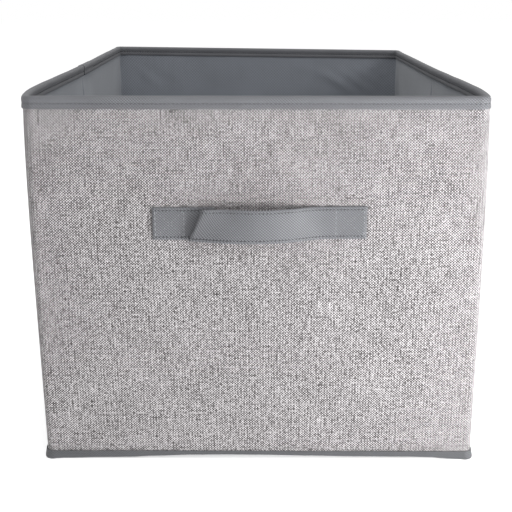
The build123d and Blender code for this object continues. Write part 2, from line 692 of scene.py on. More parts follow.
@dataclass
class Clothier:
    """Cuts pieces of cloth, tape and thread to the shell and dresses them."""

    shell: Shell

    def grid(
        self,
        name: str,
        places: Sequence[float],
        section: Sequence[Tuple[float, float]],
        facing: Facing,
        relief: Optional[Relief] = None,
    ) -> bpy.types.Object:
        """Makes a cloth surface by carrying a section round the wall.

        Args:
            name: The piece's name.
            places: Distances round the bin.
            section: Points of the section, each an inset and a height.
            facing: The side that shows.
            relief: Height of the cloth over its inset, by distance round and height.

        Returns:
            The piece, with its flat cloth's places as a UV map.
        """
        run = [0.0]
        for (inset_a, z_a), (inset_b, z_b) in zip(section, section[1:]):
            run.append(run[-1] + math.hypot(inset_b - inset_a, z_b - z_a))
        start = section[0][1]
        columns, rows = len(places) - 1, len(section) - 1
        mesh = bmesh.new()
        bmesh.ops.create_grid(mesh, x_segments=columns, y_segments=rows, size=0.5)
        layer = mesh.loops.layers.uv.new(UV_NAME)
        for face in mesh.faces:
            for loop in face.loops:
                column = round((loop.vert.co.x + 0.5) * columns)
                row = round((loop.vert.co.y + 0.5) * rows)
                loop[layer].uv = (places[column], start + run[row])
        for vert in mesh.verts:
            distance = places[round((vert.co.x + 0.5) * columns)]
            inset, z = section[round((vert.co.y + 0.5) * rows)]
            lift = relief(distance, z) if relief else 0.0
            vert.co = self.shell.at(distance, inset - facing.value * lift, z)
        if facing is Facing.INWARD:
            bmesh.ops.reverse_faces(mesh, faces=mesh.faces)
        for face in mesh.faces:
            face.smooth = True
        for edge in mesh.edges:
            edge.smooth = not edge.is_boundary
        return self.add(name, mesh)

    def add(self, name: str, mesh: bmesh.types.BMesh) -> bpy.types.Object:
        """Turns a finished bmesh into an object of the scene.

        Args:
            name: The piece's name.
            mesh: The finished mesh, which is freed.

        Returns:
            The object.
        """
        data = bpy.data.meshes.new(name)
        mesh.to_mesh(data)
        mesh.free()
        piece = bpy.data.objects.new(name, data)
        bpy.context.scene.collection.objects.link(piece)
        return piece

    def thicken(self, piece: bpy.types.Object, thickness: float) -> bpy.types.Object:
        """Gives a cloth surface its thickness behind the side that shows.

        Args:
            piece: The cloth surface.
            thickness: The cloth's thickness.

        Returns:
            The same piece.
        """
        solid = piece.modifiers.new("thickness", "SOLIDIFY")
        solid.thickness = thickness
        solid.offset = -1.0
        solid.use_even_offset = False
        return piece

    def dress(self, piece: bpy.types.Object, material: bpy.types.Material, slot: str) -> bpy.types.Object:
        """Gives a piece its material.

        Args:
            piece: The piece.
            material: Its material.
            slot: Not used.

        Returns:
            The same piece.
        """
        piece.data.materials.append(material)
        LOG.info("made %s", piece.name)
        return piece

    def stitches(
        self, name: str, places: Sequence[Matrix], size: Tuple[float, float, float]
    ) -> bpy.types.Object:
        """Makes a row of stitches, each a small grain of thread.

        Args:
            name: The piece's name.
            places: Place and turn of each stitch, which lies along its own X.
            size: Half length, half width and half height of a stitch.

        Returns:
            One piece that holds the whole row.
        """
        mesh = bmesh.new()
        stretch = Matrix.Diagonal((*size, 1.0))
        for place in places:
            bmesh.ops.create_icosphere(mesh, subdivisions=1, radius=1.0, matrix=place @ stretch)
        for face in mesh.faces:
            face.smooth = True
        return self.add(name, mesh)


# ---------------------------------------------------------------- how the walls are cut up

ROOT = "rear_wall_and_base"
FRONT = "front_wall"
LOOSE = "loose_base_board"


@dataclass(frozen=True)
class Span:
    """A stretch of wall that goes with one body, or lies between two."""

    name: str
    low: float
    high: float
    bodies: Tuple[str, ...]
    start: Vector = Vector()
    end: Vector = Vector()
    squeeze: Optional[Vector] = None

    def boards(self) -> List[str]:
        """The boards that hold the cloth and tape of this stretch."""
        named = {ROOT: "rear_board", FRONT: "front_board"}
        return [named.get(body, body.replace("_panel", "_board")) for body in self.bodies]

    def attach(self, piece: bpy.types.Object, inner: bool = False) -> None:
        """Makes a piece follow the span's body when it has one; with two bodies the piece's place is only
        baked in.

        Args:
            piece: The piece.
            inner: Whether it lies on the inside of the corner; such a piece of a span with one body and a
                squeeze gets its own copy of its mesh.
        """
        if len(self.bodies) == 2:
            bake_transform(piece)
            return
        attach(piece, self.bodies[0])
        if inner and self.squeeze is not None:
            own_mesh(piece)


@dataclass(frozen=True)
class Cutting:
    """Where the cloth round the bin is divided, so that it can fold."""

    shell: Shell
    corner_lap: float = 5 * MM
    side_lap: float = 9 * MM
    fold_reach: float = 4 * MM

    def corner(self, side: Side, rear: bool) -> List[Span]:
        """The spans that turn one corner.

        Args:
            side: The side that the corner is on.
            rear: Whether it is a rear corner.

        Returns:
            One span, or two at the corner where the ring is open.
        """
        shell = self.shell
        sign = side.value
        near, far = shell.corner_start - self.corner_lap, shell.corner_end + self.side_lap
        turn_low, turn_high = shell.corner_start, shell.corner_end
        wall, panel = FRONT, f"{side.word}_front_panel"
        if rear:
            near, far = shell.rear_start - self.side_lap, shell.rear_end + self.corner_lap
            turn_low, turn_high = shell.rear_end, shell.rear_start
            wall, panel = ROOT, f"{side.word}_rear_panel"
        name = f"{side.word}_{'rear' if rear else 'front'}_corner"
        start = shell.plan(sign * turn_low)[0]
        end = shell.plan(sign * turn_high)[0]
        low, high = sorted((sign * near, sign * far))
        if rear or side is Side.LEFT:
            return [Span(name, low, high, (wall, panel), start, end)]
        middle = (turn_low + turn_high) / 2
        near_end, far_end = shell.at(low, 0.0, shell.height), shell.at(high, 0.0, shell.height)
        return [
            Span(f"{name}_inner_lap", low, middle, (wall,), start=near_end, squeeze=Vector((1, 0, 0))),
            Span(name, middle, high, (panel,), start=far_end, squeeze=Vector((0, 1, 0))),
        ]

    def flank(self, side: Side) -> Span:
        """The span of a side wall, across its fold.

        Args:
            side: The side.

        Returns:
            The span.
        """
        shell = self.shell
        low, high = sorted(
            side.value * place
            for place in (shell.corner_end + self.side_lap, shell.rear_start - self.side_lap)
        )
        x = side.value * shell.half_width
        bodies = (f"{side.word}_rear_panel", f"{side.word}_front_panel")
        start, end = Vector((x, self.fold_reach, 0)), Vector((x, -self.fold_reach, 0))
        return Span(f"{side.word}_side", low, high, bodies, start, end)

    def spans(self) -> List[Span]:
        """Every span round the bin.

        Returns:
            The spans.
        """
        shell = self.shell
        near = shell.corner_start - self.corner_lap
        far = shell.rear_end + self.corner_lap
        found = [Span("front", -near, near, (FRONT,)), Span("rear", far, shell.around - far, (ROOT,))]
        for side in Side:
            found += [*self.corner(side, rear=False), *self.corner(side, rear=True), self.flank(side)]
        return found

    def places(self, span: Span, step: float) -> List[float]:
        """Distances round the bin for a span's columns, closer together at corners and folds.

        Args:
            span: The span.
            step: Distance between columns away from corners and folds.

        Returns:
            The distances, in order.
        """
        shell = self.shell
        half_turn = shell.radius * math.pi / 4
        spots = []
        for sign in (-1, 1):
            spots.append((sign * (shell.corner_start + half_turn), half_turn + 1 * MM, 0.9 * MM))
            spots.append((sign * (shell.rear_start + half_turn), half_turn + 1 * MM, 0.9 * MM))
            spots.append((sign * shell.fold, 6 * MM, 0.8 * MM))
        turned = [(spot + shell.around, reach, fine) for spot, reach, fine in spots]
        return stations(span.low, span.high, step, sorted(spots + turned))


def rows(low: float, high: float, step: float) -> List[float]:
    """Evenly spaced heights from low to high, about a step apart."""
    count = max(1, round((high - low) / step))
    return [low + (high - low) * index / count for index in range(count + 1)]


# ---------------------------------------------------------------- sub-assemblies


@dataclass
class Walls:
    """The outer linen, the lining, the boards between them and the sewn folds."""

    clothier: Clothier
    cutting: Cutting
    finishes: Finishes
    step: float = 5 * MM
    skin: float = 0.7 * MM
    linen_foot: float = 6.1 * MM
    lining_foot: float = 6.9 * MM
    rim_cover: float = 2.6 * MM
    roll_radius: float = 1.1 * MM
    corner_slack: float = 2.4 * MM
    fold_slack: float = 2.6 * MM
    hang_low: float = 60 * MM
    hang_high: float = 200 * MM
    hang_reach: float = 35 * MM
    rim_hold_low: float = 45 * MM
    rim_hold_high: float = 8 * MM
    calm_reach: float = 14 * MM
    crease_gap: float = 2.2 * MM
    crease_width: float = 0.9 * MM
    crease_depth: float = 0.3 * MM
    board_flat_gap: float = 0.5 * MM
    board_corner_gap: float = 1.5 * MM
    board_fold_gap: float = 6.0 * MM
    declared_width: float = 10 * MM
    slack_reach: float = 14 * MM
    fold_crease: float = 2.4 * MM
    fold_width: float = 1.3 * MM

    @property
    def shell(self) -> Shell:
        """The outline that the walls follow."""
        return self.clothier.shell

    @property
    def lining_inset(self) -> float:
        """Depth of the lining's face below the outer cloth."""
        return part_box("front_lining")[1].y + self.shell.half_depth

    def linen_relief(self) -> Relief:
        """Unevenness of the outer cloth: gentle swells, and a crease beside each front corner.

        Returns:
            A function of the distance round and the height, giving the unevenness.
        """
        swell = smooth_waves(70 * MM, 0.7 * MM, 3.1)
        ripple = smooth_waves(16 * MM, 0.18 * MM, 7.7)
        crease_at = self.shell.corner_start - self.crease_gap

        def relief(distance: float, z: float) -> float:
            """The cloth's unevenness at one place.

            Args:
                distance: Distance round the outline.
                z: Height.

            Returns:
                The unevenness there.
            """
            half = self.shell.around / 2
            run = abs((distance + half) % self.shell.around - half)
            crease = math.exp(-(((run - crease_at) / self.crease_width) ** 2))
            return (swell(distance, z) + ripple(distance, z)) * self.calm(run) - self.crease_depth * crease

        return relief

    def lining_relief(self) -> Relief:
        """Unevenness of the lining: swells, a crease at each side fold and loose folds at the rear.

        Returns:
            A function of the distance round and the height, giving the unevenness.
        """
        shell = self.shell
        swell = smooth_waves(60 * MM, 0.8 * MM, 11.3)
        ripple = smooth_waves(14 * MM, 0.25 * MM, 2.9)
        half = shell.around / 2
        turned = (shell.rear_start + shell.rear_end) / 2
        folds = self.rear_folds()

        def relief(distance: float, z: float) -> float:
            """The lining's unevenness at one place.

            Args:
                distance: Distance round the outline.
                z: Height.

            Returns:
                The unevenness there.
            """
            back = (distance + half) % shell.around - half
            run = abs(back)
            lift = (swell(distance, z) + ripple(distance, z)) * self.calm(run)
            lift -= self.fold_crease * math.exp(-(((run - shell.fold) / self.fold_width) ** 2))
            if run > shell.rear_start:
                x = math.copysign(shell.rear_end + shell.corner_start - run, back)
                lift += sum(fold(x, z) for fold in folds)
            lift += self.corner_slack * math.exp(-(((run - turned) / self.slack_reach) ** 2))
            hang = eased(self.hang_low, self.hang_high, z) * self.fold_slack
            lift += hang * math.exp(-(((run - shell.fold) / self.hang_reach) ** 2))
            held_from, held_to = shell.height - self.rim_hold_low, shell.height - self.rim_hold_high
            return lift * (1 - eased(held_from, held_to, z))

        return relief

    def calm(self, run: float) -> float:
        """Share of the swells left near a corner: 0 where it turns, 1 away from it.

        Args:
            run: Distance from the middle of the front, either way.

        Returns:
            The share.
        """
        shell = self.shell
        gaps = [shell.corner_start - run, run - shell.corner_end]
        if run > shell.fold:
            gaps = [shell.rear_start - run, run - shell.rear_end]
        return eased(0.0, self.calm_reach, max(gaps))

    def rear_folds(self) -> List[Relief]:
        """Soft ridges on the rear lining, each from one point of the wall to another.

        Returns:
            The ridges, each a function of the place across and the height.
        """
        top = self.shell.height

        def ridge(start: Tuple[float, float], end: Tuple[float, float], width: float, depth: float) -> Relief:
            """Makes one ridge.

            Args:
                start: Its first point, across and up.
                end: Its last point.
                width: Its half width.
                depth: Its height.

            Returns:
                A function of the place across and the height, giving the ridge's height.
            """
            origin, line = Vector(start), Vector(end) - Vector(start)

            def lift(x: float, z: float) -> float:
                """Height of the ridge at one place.

                Args:
                    x: Place across the wall.
                    z: Height.

                Returns:
                    The ridge's height there.
                """
                offset = Vector((x, z)) - origin
                share = offset.dot(line) / line.length_squared
                if not 0 < share < 1:
                    return 0.0
                away = (offset - share * line).length
                return depth * math.sin(math.pi * share) * math.exp(-((away / width) ** 2))

            return lift

        lines = [
            ((0.020, -0.008), (0.100, -0.040), 2.2, 1.9),
            ((0.044, -0.006), (0.116, -0.052), 2.0, 2.8),
            ((0.062, -0.004), (0.134, -0.050), 1.8, 3.2),
            ((0.078, -0.005), (0.146, -0.042), 1.6, 3.1),
            ((0.094, -0.004), (0.152, -0.034), 1.4, 2.8),
            ((0.110, -0.005), (0.154, -0.026), 1.3, 2.2),
            ((-0.153, -0.007), (-0.104, -0.050), 2.2, 1.6),
            ((-0.142, -0.006), (-0.086, -0.036), 1.9, 1.4),
            ((-0.120, -0.006), (-0.064, -0.028), 1.8, 1.1),
            ((-0.040, -0.010), (0.036, -0.024), 2.4, 0.8),
        ]
        return [
            ridge((x, top + z), (end_x, top + end_z), width * MM, depth * MM)
            for (x, z), (end_x, end_z), width, depth in lines
        ]

    def build(self) -> None:
        """Makes every layer of every wall."""
        top = self.shell.height - self.rim_cover
        linen_rows = [(0.0, z) for z in rows(self.linen_foot, top, self.step)]
        inset = self.lining_inset
        lining_rows = [(inset, z) for z in rows(self.lining_foot, top, self.step)]
        linen_relief, lining_relief = self.linen_relief(), self.lining_relief()
        for span in self.cutting.spans():
            places = self.cutting.places(span, self.step)
            linen = self.clothier.grid(f"{span.name}_linen", places, linen_rows, Facing.OUTWARD, linen_relief)
            self.clothier.thicken(linen, self.skin)
            self.clothier.dress(linen, self.finishes.linen, "outer_linen_cloth")
            lining = self.clothier.grid(
                f"{span.name}_lining_cloth", places, lining_rows, Facing.INWARD, lining_relief
            )
            self.clothier.thicken(lining, self.skin)
            self.clothier.dress(lining, self.finishes.lining, "lining_cloth")
            self.declare(span)
            self.declare(span)
            span.attach(linen)
            span.attach(lining, inner=True)
            if span.name in ("front", "rear"):
                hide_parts(f"{span.name}_outer")
                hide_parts(f"{span.name}_lining")
            if span.name.endswith("_side"):
                word = span.name.split("_")[0]
                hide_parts(f"{word}_rear_outer", f"{word}_front_outer")
                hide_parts(f"{word}_rear_lining", f"{word}_front_lining")
        self.boards(top)
        self.seams(top)

    def declare(self, span: Span) -> None:
        """Works out the width of a wall cloth and the names of its span's boards, and keeps neither.

        Args:
            span: The stretch of wall that it covers.
        """
        wide = span.high - span.low
        if wide > self.declared_width:
            span.boards()

    def boards(self, top: float) -> None:
        """Makes the six stiff boards, which settle with the cloth round them.

        Args:
            top: Height of the boards' upper edge.
        """
        shell = self.shell
        low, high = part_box("front_board")
        inset, thickness = low.y + shell.half_depth, high.y - low.y
        section = [(inset, z) for z in rows(self.shell.foot, top, 3 * self.step)]
        flat = shell.corner_start - self.board_flat_gap
        panel_ends = (shell.corner_end + self.board_corner_gap, shell.fold - self.board_fold_gap)
        spans = {"front": (-flat, flat), "rear": (shell.around / 2 - flat, shell.around / 2 + flat)}
        bodies = {"front": FRONT, "rear": ROOT}
        for side in Side:
            near, far = panel_ends
            spans[f"{side.word}_front"] = tuple(sorted((side.value * near, side.value * far)))
            mirrored = (2 * shell.fold - far, 2 * shell.fold - near)
            spans[f"{side.word}_rear"] = tuple(sorted(side.value * place for place in mirrored))
            for end in ("front", "rear"):
                bodies[f"{side.word}_{end}"] = f"{side.word}_{end}_panel"
        for name, (start, end) in spans.items():
            places = rows(start, end, 2 * self.step)
            board = self.clothier.grid(f"{name}_stiffener", places, section, Facing.OUTWARD)
            self.clothier.thicken(board, thickness)
            self.clothier.dress(board, self.finishes.board, "wall_board")
            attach(board, bodies[name])
            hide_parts(f"{name}_board")

    def seams(self, top: float) -> None:
        """Makes the round sewn folds that the boards turn about.

        Args:
            top: Height of the folds' upper end.
        """
        for side in Side:
            bodies = {
                "rear_corner": ROOT,
                "front_corner": FRONT,
                "fold": f"{side.word}_rear_panel",
            }
            for place, body in bodies.items():
                node = f"{side.word}_{place}_seam"
                low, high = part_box(node)
                reach = 1.5 * MM
                axis_x = high.x - reach if side is Side.RIGHT else low.x + reach
                axis_y = {"rear_corner": high.y - reach, "front_corner": low.y + reach, "fold": 0.0}[place]
                roll = self.roll(f"{node}_roll", axis_x, axis_y, low.z, top)
                self.clothier.dress(roll, self.finishes.lining, "lining_cloth")
                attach(roll, body)
                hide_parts(node)

    def roll(self, name: str, x: float, y: float, low: float, high: float) -> bpy.types.Object:
        """Makes one upright roll of folded cloth.

        Args:
            name: The roll's name.
            x: Place of its axis across the bin.
            y: Place of its axis along the bin's depth.
            low: Height of its foot.
            high: Height of its top.

        Returns:
            The roll.
        """
        mesh = bmesh.new()
        bmesh.ops.create_circle(mesh, cap_ends=True, segments=12, radius=self.roll_radius)
        bmesh.ops.translate(mesh, verts=mesh.verts, vec=(x, y, low))
        levels = rows(low, high, 3 * self.step)
        faces = list(mesh.faces)
        for below, above in zip(levels, levels[1:]):
            made = bmesh.ops.extrude_face_region(mesh, geom=faces)
            verts = [item for item in made["geom"] if isinstance(item, bmesh.types.BMVert)]
            bmesh.ops.translate(mesh, verts=verts, vec=(0, 0, above - below))
            bmesh.ops.delete(mesh, geom=faces if below > low else [], context="FACES_ONLY")
            faces = [item for item in made["geom"] if isinstance(item, bmesh.types.BMFace)]
        for vert in mesh.verts:
            vert.co = self.shell.settled(vert.co)
        bmesh.ops.recalc_face_normals(mesh, faces=mesh.faces)
        for face in mesh.faces:
            face.smooth = len(face.verts) == 4
        return self.clothier.add(name, mesh)


@dataclass
class Rim:
    """The binding tape folded over the top of the walls, its stitches and its lapped ends."""

    clothier: Clothier
    cutting: Cutting
    finishes: Finishes
    step: float = 4 * MM
    proud: float = 0.75 * MM
    drop: float = 9.0 * MM
    stitch_depth: float = 5.3 * MM
    groove: float = 0.38 * MM
    tape: float = 0.6 * MM
    pitch: float = 2.9 * MM
    lap_start: float = 6 * MM
    lap_length: float = 34 * MM

    @property
    def shell(self) -> Shell:
        """The outline that the rim follows."""
        return self.clothier.shell

    @property
    def wall(self) -> float:
        """Thickness of the wall that the tape is folded over."""
        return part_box("front_lining")[1].y + self.shell.half_depth

    def section(self, extra: float = 0.0) -> List[Tuple[float, float]]:
        """The tape's outer face, from its outer edge over the top to its inner edge.

        Args:
            extra: How much further out than the usual tape it lies.

        Returns:
            Points, each an inset and a height.
        """
        top = self.shell.height + extra * 0.6
        out = -self.proud - extra
        inner = self.wall + self.proud + extra
        leg = [
            (self.drop, -0.1 * MM),
            (self.drop - 0.7 * MM, 0.12 * MM),
            (self.stitch_depth + 1.4 * MM, 0.10 * MM),
            (self.stitch_depth, -self.groove),
            (self.stitch_depth - 1.4 * MM, 0.12 * MM),
            (2.4 * MM, 0.14 * MM),
        ]
        outer = [(out - lift, top - depth) for depth, lift in leg]
        middle, half, rise = (out + inner) / 2, (inner - out) / 2, 2.1 * MM
        arch = [
            (middle - half * math.cos(angle), top - rise + rise * math.sin(angle) ** 0.8)
            for angle in (math.pi * step / 10 for step in range(1, 10))
        ]
        inner_leg = [(inner + lift, top - depth) for depth, lift in reversed(leg)]
        return outer + arch + inner_leg

    def relief(self) -> Relief:
        """The tape's slight unevenness.

        Returns:
            A function of the distance round and the height, giving the unevenness.
        """
        swell = smooth_waves(28 * MM, 0.35 * MM, 21.0)
        pucker = smooth_waves(5 * MM, 0.16 * MM, 5.0)
        return lambda distance, z: swell(distance, z) + pucker(distance, z * 0.5)

    def build(self) -> None:
        """Makes the tape, its stitches and the lap where its two ends meet."""
        section = self.section()
        for span in self.cutting.spans():
            places = self.cutting.places(span, self.step)
            tape = self.clothier.grid(f"{span.name}_rim_tape", places, section, Facing.OUTWARD, self.relief())
            self.clothier.thicken(tape, self.tape)
            self.clothier.dress(tape, self.finishes.trim, "grey_binding")
            if span.high - span.low > 20 * MM:
                wide = 2 * self.drop + self.wall
                span.boards()
            span.attach(tape, inner=True)
            self.replace(tape, span)
            self.sew(span)
        self.lap()

    def replace(self, tape: bpy.types.Object, span: Span) -> None:
        """Hides the frame's nodes that a stretch of tape stands for.

        Args:
            tape: Not used.
            span: The stretch that it covers.
        """
        if span.name in ("front", "rear"):
            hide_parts(f"{span.name}_binding")
        if span.name.endswith("_side"):
            word = span.name.split("_")[0]
            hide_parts(f"{word}_rear_binding", f"{word}_front_binding")

    def sew(self, span: Span) -> None:
        """Makes the stitches of one span, on the outside and the inside of the rim.

        Args:
            span: The span.
        """
        count = int((span.high - span.low) / self.pitch)
        if count < 2:
            return
        z = self.shell.height - self.stitch_depth
        gap = (span.high - span.low) / count
        grains: List[Matrix] = []
        relief = self.relief()
        for inset in (-self.proud + self.groove, self.wall + self.proud - self.groove):
            for index in range(count):
                distance = span.low + (index + 0.5) * gap
                grains.append(self.shell.basis(distance, inset - relief(distance, z), z))
        size = (0.33 * self.pitch, 0.42 * MM, 0.30 * MM)
        row = self.clothier.stitches(f"{span.name}_rim_stitches", grains, size)
        self.clothier.dress(row, self.finishes.thread, "stitching_thread")
        span.attach(row, inner=True)

    def lap(self) -> None:
        """Makes the double layer where the tape's ends overlap, behind the left fold."""
        end = -(self.shell.fold + self.lap_start)
        start = end - self.lap_length
        places = rows(start, end, 2 * MM)
        waves = smooth_waves(12 * MM, 0.2 * MM, 2.0)

        def relief(distance: float, z: float) -> float:
            """The tape's waves, lowered towards the lap's start."""
            return waves(distance, z) - 0.3 * MM * (1 - eased(start, end, distance))

        piece = self.clothier.grid("rim_tape_lap", places, self.section(0.5 * MM), Facing.OUTWARD, relief)
        self.clothier.thicken(piece, self.tape)
        self.clothier.dress(piece, self.finishes.trim, "grey_binding")
        flat = (2 * self.drop + self.wall, self.lap_length)
        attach(piece, "left_rear_panel")


@dataclass
class Handle:
    """The pull handle: a folded strap sewn flat at its ends, and its stitching.

    Places along the strap are distances from its left end, and each edge of the strap has its
    own line out from the wall, because the strap leaves its left patch with a twist.
    """

    clothier: Clothier
    finishes: Finishes
    patch: float = 23 * MM
    lower_line: Tuple[Tuple[float, float], ...] = (
        (0, 0.8), (12, 0.8), (23, 0.9), (27.0, 0.8), (29.6, 1.6), (28.4, 3.4), (25.4, 4.8), (26.8, 6.0),
        (31, 7.2), (41, 9.8), (52, 12.2), (63, 13.3), (75, 13.6), (87, 12.2), (99, 9.2), (110, 5.0),
        (120, 1.9), (130, 1.0), (141, 0.8), (153, 0.8),
    )
    upper_line: Tuple[Tuple[float, float], ...] = (
        (0, 0.8), (12, 0.8), (23, 0.9), (32, 0.8), (41, 0.8), (45, 2.4), (42.0, 6.0), (36.6, 8.4),
        (40.0, 9.2), (45.6, 8.6), (53, 8.6), (64, 10.9), (75, 11.7), (87, 10.4), (99, 7.2), (110, 3.0),
        (120, 1.2), (130, 0.9), (141, 0.8), (153, 0.8),
    )
    tilt: float = 1.0 * MM
    hem: float = 2.3 * MM
    edge_pitch: float = 2.35 * MM
    cross_pitch: float = 3.6 * MM

    def __post_init__(self) -> None:
        """Reads the strap's place and size from the frame."""
        low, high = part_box("handle_strap")
        self.left, self.width = low.x, high.z - low.z
        self.middle = (low.z + high.z) / 2
        self.face = -high.y
        self.half_thick = 0.75 * MM

    def edge(self, line: Sequence[Tuple[float, float]], share: float) -> Vector:
        """A point of one edge's line, on a smooth curve through its points.

        Args:
            line: The edge's points, each a distance along and a distance out.
            share: From 0 at the line's first point to 1 at its last.

        Returns:
            The place in the bin's frame, at height 0.
        """
        last = len(line) - 1
        place = min(max(share, 0.0), 0.99999) * last
        index = int(place)
        part = place - index
        spot = [Vector(line[min(max(index + step, 0), last)]) for step in (-1, 0, 1, 2)]
        before, here, after, beyond = spot
        curved = 0.5 * (
            2 * here
            + (after - before) * part
            + (2 * before - 5 * here + 4 * after - beyond) * part**2
            + (3 * here - before - 3 * after + beyond) * part**3
        )
        return Vector((self.left + curved.x * MM, -self.face - curved.y * MM, 0))

    def frame_at(self, share: float, across: float) -> Tuple[Vector, Vector, Vector]:
        """Place on the strap's middle surface, its direction along and its direction out.

        Args:
            share: From 0 at the left end to 1 at the right end.
            across: From -0.5 at the lower edge to 0.5 at the upper edge.

        Returns:
            The place, the direction along and the direction out.
        """

        def spot(at: float) -> Vector:
            """The point across the strap at one share along it."""
            lower, upper = self.edge(self.lower_line, at), self.edge(self.upper_line, at)
            return lower.lerp(upper, across + 0.5)

        step = 0.002
        along = (spot(min(share + step, 1.0)) - spot(max(share - step, 0.0))).normalized()
        out = Vector((along.y, -along.x, 0))
        place = spot(share)
        place.z = self.middle + across * self.width + self.tilt * share
        return place, along, out

    def even_shares(self, across: float, pitch: float) -> List[float]:
        """Shares along the strap whose places are a pitch apart.

        Args:
            across: From -0.5 at the lower edge to 0.5 at the upper edge.
            pitch: Distance between two places.

        Returns:
            The shares, in order.
        """
        fine = [index / 600 for index in range(601)]
        places = [self.frame_at(share, across)[0] for share in fine]
        shares, run = [fine[0]], 0.0
        for share, here, there in zip(fine[1:], places, places[1:]):
            run += (there - here).length
            if run >= pitch:
                shares.append(share)
                run = 0.0
        return shares

    def steps_along(self) -> List[Tuple[Vector, Vector]]:
        """Short steps that follow the strap's middle line from end to end."""
        places = [self.frame_at(index / 300, 0.0)[0] for index in range(301)]
        return list(zip(places, places[1:]))

    def section(self) -> List[Tuple[float, float]]:
        """The strap's closed outline across: place across it, and height out of its middle.

        Returns:
            The outline's points, in order.
        """
        edge = 0.5
        thick = self.half_thick
        upper = [
            (-edge, 0.0), (-edge + 0.012, 0.75), (-edge + 0.04, 1.1), (-edge + 0.097, 0.8),
            (-edge + 0.16, 0.92), (-0.2, 0.9), (-0.07, 0.95), (0.07, 0.95), (0.2, 0.9),
            (edge - 0.16, 0.92), (edge - 0.097, 0.8), (edge - 0.04, 1.1), (edge - 0.012, 0.75),
            (edge, 0.0),
        ]
        lower = [(across, -0.9 * lift) for across, lift in reversed(upper[1:-1])]
        return [(across, lift * thick) for across, lift in upper + lower]

    def build(self) -> None:
        """Makes the strap and everything sewn into it."""
        shares = self.even_shares(0.0, 1.3 * MM)
        section = self.section()
        around = section + section[:1]
        columns, count = len(shares) - 1, len(around) - 1
        mesh = bmesh.new()
        bmesh.ops.create_grid(mesh, x_segments=columns, y_segments=count, size=0.5)
        layer = mesh.loops.layers.uv.new(UV_NAME)
        length = 0.165
        for face in mesh.faces:
            for loop in face.loops:
                column = round((loop.vert.co.x + 0.5) * columns)
                row = round((loop.vert.co.y + 0.5) * count)
                fold = 0.0 if row <= count // 2 else self.width
                loop[layer].uv = (column / columns * length, around[row][0] * self.width + fold)
        for vert in mesh.verts:
            share = shares[round((vert.co.x + 0.5) * columns)]
            across, lift = around[round((vert.co.y + 0.5) * count)]
            place, _, out = self.frame_at(share, across)
            vert.co = place + out * lift
        bmesh.ops.remove_doubles(mesh, verts=mesh.verts, dist=0.001 * MM)
        bmesh.ops.holes_fill(mesh, edges=[edge for edge in mesh.edges if edge.is_boundary], sides=0)
        bmesh.ops.recalc_face_normals(mesh, faces=mesh.faces)
        for face in mesh.faces:
            face.smooth = True
        strap = self.clothier.add("pull_strap", mesh)
        self.clothier.dress(strap, self.finishes.trim, "grey_binding")
        cut = sum((b - a).length for a, b in self.steps_along())
        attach(strap, FRONT)
        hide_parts("handle_strap")
        self.sew_edges()
        self.sew_patches()

    def grain(self, share: float, across: float, turn: float = 0.0) -> Matrix:
        """Place and turn of a stitch on the strap's outer face.

        Args:
            share: From 0 at the left end to 1 at the right end.
            across: From -0.5 at the lower edge to 0.5 at the upper edge.
            turn: Turn about the outward direction, in radians.

        Returns:
            The place and turn.
        """
        place, along, out = self.frame_at(share, across)
        place = place + out * self.half_thick * 0.85
        basis = Matrix((along, Vector((0, 0, 1)), out)).transposed().to_4x4()
        return Matrix.Translation(place) @ basis @ Matrix.Rotation(turn, 4, "Z")

    def sew_edges(self) -> None:
        """Makes the rows of stitches along both edges of the strap."""
        grains = []
        for across in (-0.5 + self.hem / self.width, 0.5 - self.hem / self.width):
            shares = self.even_shares(across, self.edge_pitch)
            grains += [self.grain(share, across) for share in shares[1:-1]]
        row = self.clothier.stitches("strap_edge_stitches", grains, (0.62 * MM, 0.55 * MM, 0.34 * MM))
        self.clothier.dress(row, self.finishes.thread, "stitching_thread")
        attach(row, FRONT)

    def share_at(self, distance: float) -> float:
        """The share along the strap that lies a distance from its left end, within a patch.

        Args:
            distance: Distance from the left end, in metres.

        Returns:
            The share.
        """
        line = self.lower_line
        for index, (here, there) in enumerate(zip(line, line[1:])):
            if here[0] * MM <= distance <= there[0] * MM:
                part = (distance / MM - here[0]) / (there[0] - here[0])
                return (index + part) / (len(line) - 1)
        return 1.0

    def sew_patches(self) -> None:
        """Makes the crossed squares that hold the strap's ends."""
        length = self.lower_line[-1][0] * MM
        reach = 0.5 - self.hem / self.width
        tall = 2 * reach * self.width
        bars: List[Matrix] = []
        crosses: List[Matrix] = []
        left_square = (2.7 * MM, self.patch - 0.7 * MM)
        right_square = (length - self.patch + 0.3 * MM, length - 3.6 * MM)
        for start, end in (left_square, right_square):
            wide = end - start
            upright = max(2, round(tall / self.cross_pitch))
            for distance in (start, end):
                for index in range(upright):
                    across = -reach + (index + 0.5) / upright * 2 * reach
                    bars.append(self.grain(self.share_at(distance), across, math.pi / 2))
            slope = math.atan2(tall, wide)
            count = round(math.hypot(wide, tall) / self.cross_pitch)
            for sign in (-1, 1):
                for index in range(count):
                    part = (index + 0.5) / count
                    across = sign * (-reach + part * 2 * reach)
                    crosses.append(self.grain(self.share_at(start + part * wide), across, sign * slope))
        cross = self.clothier.stitches("strap_cross_stitches", crosses, (0.75 * MM, 0.22 * MM, 0.2 * MM))
        self.clothier.dress(cross, self.finishes.pale_thread, "stitching_thread")
        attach(cross, FRONT)
        row = self.clothier.stitches("strap_bar_stitches", bars, (1.2 * MM, 0.34 * MM, 0.26 * MM))
        self.clothier.dress(row, self.finishes.pale_thread, "stitching_thread")
        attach(row, FRONT)
        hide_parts("handle_stitching")


